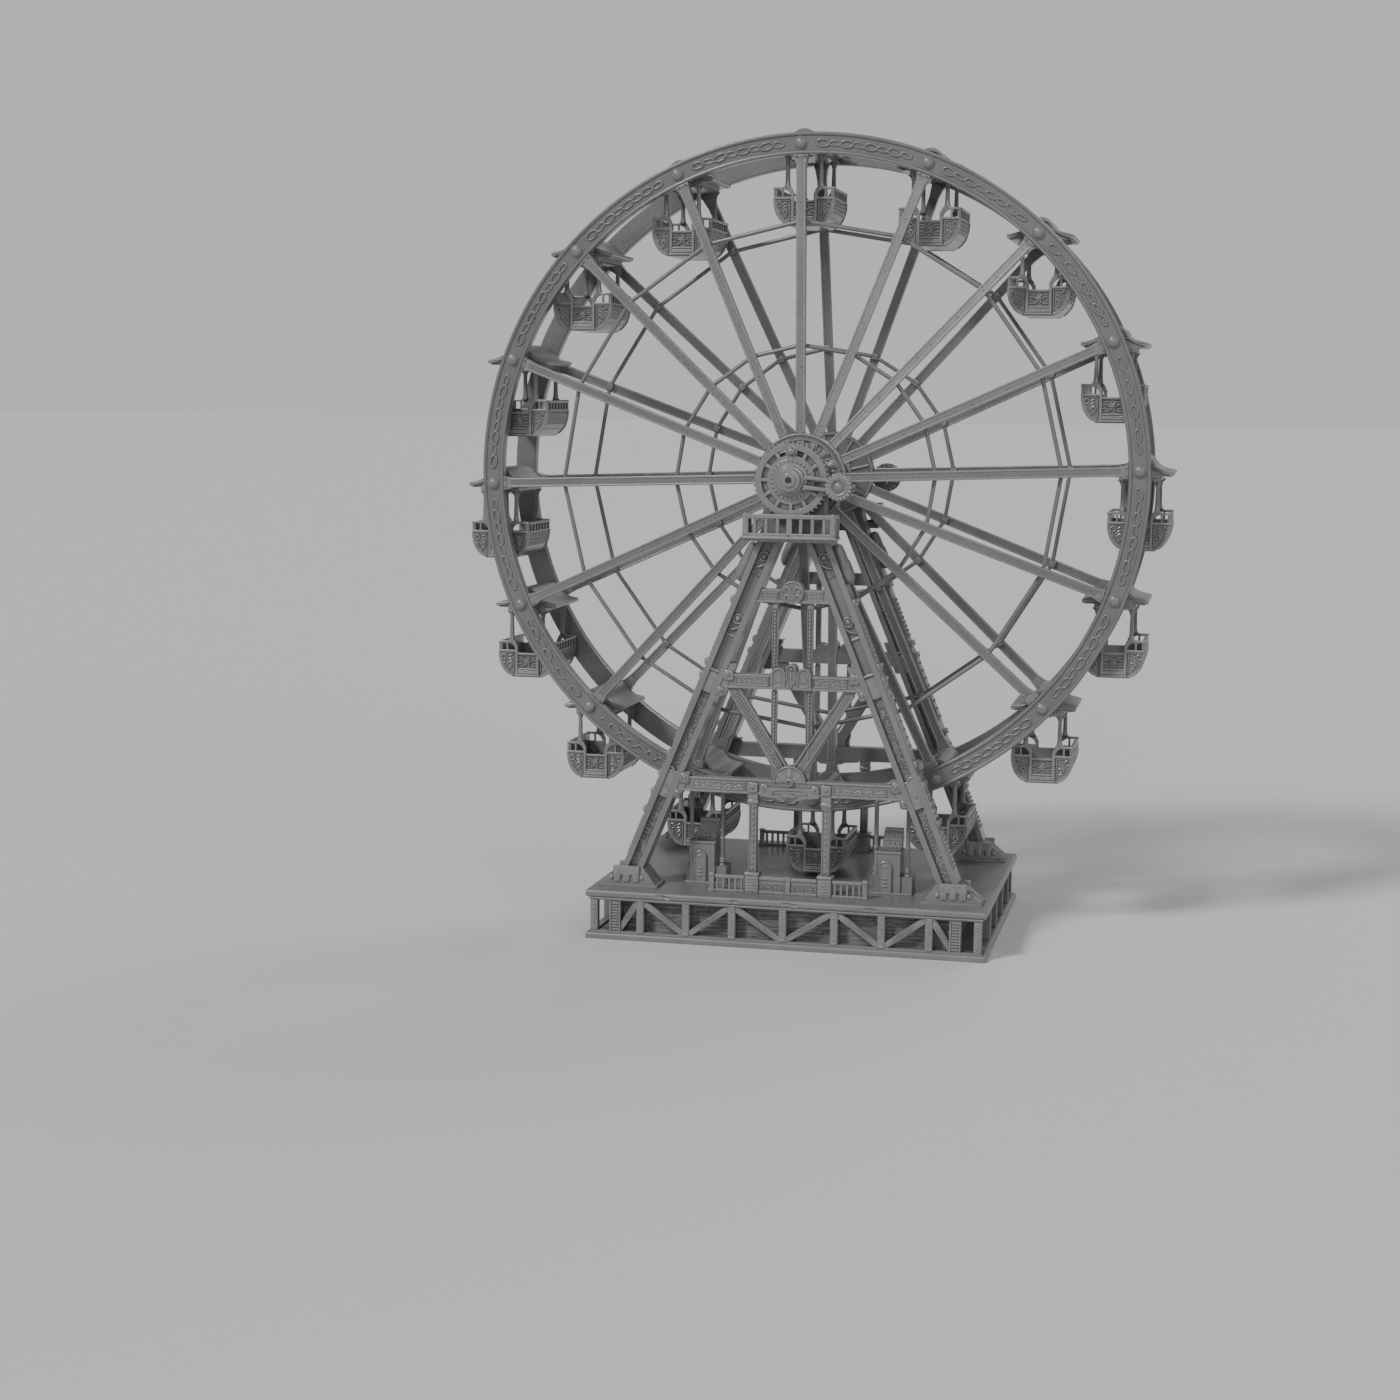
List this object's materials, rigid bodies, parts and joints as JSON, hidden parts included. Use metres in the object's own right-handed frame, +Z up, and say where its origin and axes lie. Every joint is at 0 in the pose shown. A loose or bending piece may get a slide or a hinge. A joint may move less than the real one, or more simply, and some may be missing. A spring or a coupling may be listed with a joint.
{
  "type": "ferris wheel",
  "caption": "Fairground observation wheel with level, canopied gondolas on a spoked double rim, two leaning-leg towers, geared drive and a raised deck.",
  "frame": {"origin": "centre of the base's underside, on the ground", "axes": "+Z up, +Y from the front tower to the rear tower along the wheel's axle, +X to the right in front view"},
  "size_m": [18.769, 9.0403, 21.0345],
  "materials": {
    "structure_paint": "matt grey paint on steel, worn along the edges",
    "plank_paint": "grey-painted planks",
    "wheel_paint": "satin grey paint on steel",
    "cabin_paint": "satin grey paint on sheet metal and cast ornament",
    "machinery_metal": "dull grey cast metal"
  },
  "bodies": {
    "root": {"plinth_slab": "structure_paint", "deck_slab": "structure_paint", "base_front_frame": "structure_paint", "base_rear_frame": "structure_paint", "base_left_frame": "structure_paint", "base_right_frame": "structure_paint", "base_front_wall": "plank_paint", "base_rear_wall": "plank_paint", "base_left_wall": "plank_paint", "base_right_wall": "plank_paint", "front_left_leg": "structure_paint", "front_right_leg": "structure_paint", "rear_left_leg": "structure_paint", "rear_right_leg": "structure_paint", "front_tower_bracing": "structure_paint", "rear_tower_bracing": "structure_paint", "front_railing": "structure_paint", "rear_railing": "structure_paint", "front_tower_head": "structure_paint", "rear_tower_head": "structure_paint", "front_balcony": "structure_paint", "rear_balcony": "structure_paint", "front_gear_arm": "machinery_metal", "rear_gear_arm": "machinery_metal", "drive_motor": "machinery_metal", "left_cabinet": "structure_paint", "right_cabinet": "structure_paint"},
    "wheel": {"hub_axle": "machinery_metal", "front_drive_gear": "machinery_metal", "rear_drive_gear": "machinery_metal", "front_rim": "wheel_paint", "rear_rim": "wheel_paint", "front_spokes_outer": "wheel_paint", "front_spokes_inner": "wheel_paint", "rear_spokes_outer": "wheel_paint", "rear_spokes_inner": "wheel_paint", "front_brace_ring_outer": "wheel_paint", "front_brace_ring_inner": "wheel_paint", "rear_brace_ring_outer": "wheel_paint", "rear_brace_ring_inner": "wheel_paint"},
    "front_pinion": {"front_pinion": "machinery_metal"},
    "rear_pinion": {"rear_pinion": "machinery_metal"},
    "gondola_01": {"gondola_01": "cabin_paint"},
    "gondola_02": {"gondola_02": "cabin_paint"},
    "gondola_03": {"gondola_03": "cabin_paint"},
    "gondola_04": {"gondola_04": "cabin_paint"},
    "gondola_05": {"gondola_05": "cabin_paint"},
    "gondola_06": {"gondola_06": "cabin_paint"},
    "gondola_07": {"gondola_07": "cabin_paint"},
    "gondola_08": {"gondola_08": "cabin_paint"},
    "gondola_09": {"gondola_09": "cabin_paint"},
    "gondola_10": {"gondola_10": "cabin_paint"},
    "gondola_11": {"gondola_11": "cabin_paint"},
    "gondola_12": {"gondola_12": "cabin_paint"},
    "gondola_13": {"gondola_13": "cabin_paint"},
    "gondola_14": {"gondola_14": "cabin_paint"},
    "gondola_15": {"gondola_15": "cabin_paint"},
    "gondola_16": {"gondola_16": "cabin_paint"}
  },
  "joints": [
    {"name": "wheel_spin", "type": "hinge", "parent": "root", "child": "wheel", "pos_m": [0, 0, 12.05], "axis": [0, 1, 0], "continuous": true},
    {"name": "front_pinion_spin", "type": "hinge", "parent": "root", "child": "front_pinion", "pos_m": [1.2633, 0, 11.9105], "axis": [0, 1, 0], "continuous": true},
    {"name": "rear_pinion_spin", "type": "hinge", "parent": "root", "child": "rear_pinion", "pos_m": [1.2633, 0, 11.9105], "axis": [0, 1, 0], "continuous": true},
    {"name": "gondola_01_hang", "type": "hinge", "parent": "wheel", "child": "gondola_01", "pos_m": [-0.3077, 0, 20.6045], "axis": [0, 1, 0], "continuous": true},
    {"name": "gondola_02_hang", "type": "hinge", "parent": "wheel", "child": "gondola_02", "pos_m": [2.9894, 0, 20.071], "axis": [0, 1, 0], "continuous": true},
    {"name": "gondola_03_hang", "type": "hinge", "parent": "wheel", "child": "gondola_03", "pos_m": [5.8313, 0, 18.3165], "axis": [0, 1, 0], "continuous": true},
    {"name": "gondola_04_hang", "type": "hinge", "parent": "wheel", "child": "gondola_04", "pos_m": [7.7855, 0, 15.6079], "axis": [0, 1, 0], "continuous": true},
    {"name": "gondola_05_hang", "type": "hinge", "parent": "wheel", "child": "gondola_05", "pos_m": [8.5545, 0, 12.3577], "axis": [0, 1, 0], "continuous": true},
    {"name": "gondola_06_hang", "type": "hinge", "parent": "wheel", "child": "gondola_06", "pos_m": [8.021, 0, 9.0606], "axis": [0, 1, 0], "continuous": true},
    {"name": "gondola_07_hang", "type": "hinge", "parent": "wheel", "child": "gondola_07", "pos_m": [6.2665, 0, 6.2187], "axis": [0, 1, 0], "continuous": true},
    {"name": "gondola_08_hang", "type": "hinge", "parent": "wheel", "child": "gondola_08", "pos_m": [3.5579, 0, 4.2645], "axis": [0, 1, 0], "continuous": true},
    {"name": "gondola_09_hang", "type": "hinge", "parent": "wheel", "child": "gondola_09", "pos_m": [0.3077, 0, 3.4955], "axis": [0, 1, 0], "continuous": true},
    {"name": "gondola_10_hang", "type": "hinge", "parent": "wheel", "child": "gondola_10", "pos_m": [-2.9894, 0, 4.029], "axis": [0, 1, 0], "continuous": true},
    {"name": "gondola_11_hang", "type": "hinge", "parent": "wheel", "child": "gondola_11", "pos_m": [-5.8313, 0, 5.7835], "axis": [0, 1, 0], "continuous": true},
    {"name": "gondola_12_hang", "type": "hinge", "parent": "wheel", "child": "gondola_12", "pos_m": [-7.7855, 0, 8.4921], "axis": [0, 1, 0], "continuous": true},
    {"name": "gondola_13_hang", "type": "hinge", "parent": "wheel", "child": "gondola_13", "pos_m": [-8.5545, 0, 11.7423], "axis": [0, 1, 0], "continuous": true},
    {"name": "gondola_14_hang", "type": "hinge", "parent": "wheel", "child": "gondola_14", "pos_m": [-8.021, 0, 15.0394], "axis": [0, 1, 0], "continuous": true},
    {"name": "gondola_15_hang", "type": "hinge", "parent": "wheel", "child": "gondola_15", "pos_m": [-6.2665, 0, 17.8813], "axis": [0, 1, 0], "continuous": true},
    {"name": "gondola_16_hang", "type": "hinge", "parent": "wheel", "child": "gondola_16", "pos_m": [-3.5579, 0, 19.8355], "axis": [0, 1, 0], "continuous": true}
  ],
  "couplings": [
    {"joint": "front_pinion_spin", "follows": "wheel_spin", "ratio": -2.875},
    {"joint": "rear_pinion_spin", "follows": "wheel_spin", "ratio": -2.875},
    {"joint": "gondola_01_hang", "follows": "wheel_spin", "ratio": -1},
    {"joint": "gondola_02_hang", "follows": "wheel_spin", "ratio": -1},
    {"joint": "gondola_03_hang", "follows": "wheel_spin", "ratio": -1},
    {"joint": "gondola_04_hang", "follows": "wheel_spin", "ratio": -1},
    {"joint": "gondola_05_hang", "follows": "wheel_spin", "ratio": -1},
    {"joint": "gondola_06_hang", "follows": "wheel_spin", "ratio": -1},
    {"joint": "gondola_07_hang", "follows": "wheel_spin", "ratio": -1},
    {"joint": "gondola_08_hang", "follows": "wheel_spin", "ratio": -1},
    {"joint": "gondola_09_hang", "follows": "wheel_spin", "ratio": -1},
    {"joint": "gondola_10_hang", "follows": "wheel_spin", "ratio": -1},
    {"joint": "gondola_11_hang", "follows": "wheel_spin", "ratio": -1},
    {"joint": "gondola_12_hang", "follows": "wheel_spin", "ratio": -1},
    {"joint": "gondola_13_hang", "follows": "wheel_spin", "ratio": -1},
    {"joint": "gondola_14_hang", "follows": "wheel_spin", "ratio": -1},
    {"joint": "gondola_15_hang", "follows": "wheel_spin", "ratio": -1},
    {"joint": "gondola_16_hang", "follows": "wheel_spin", "ratio": -1}
  ]
}
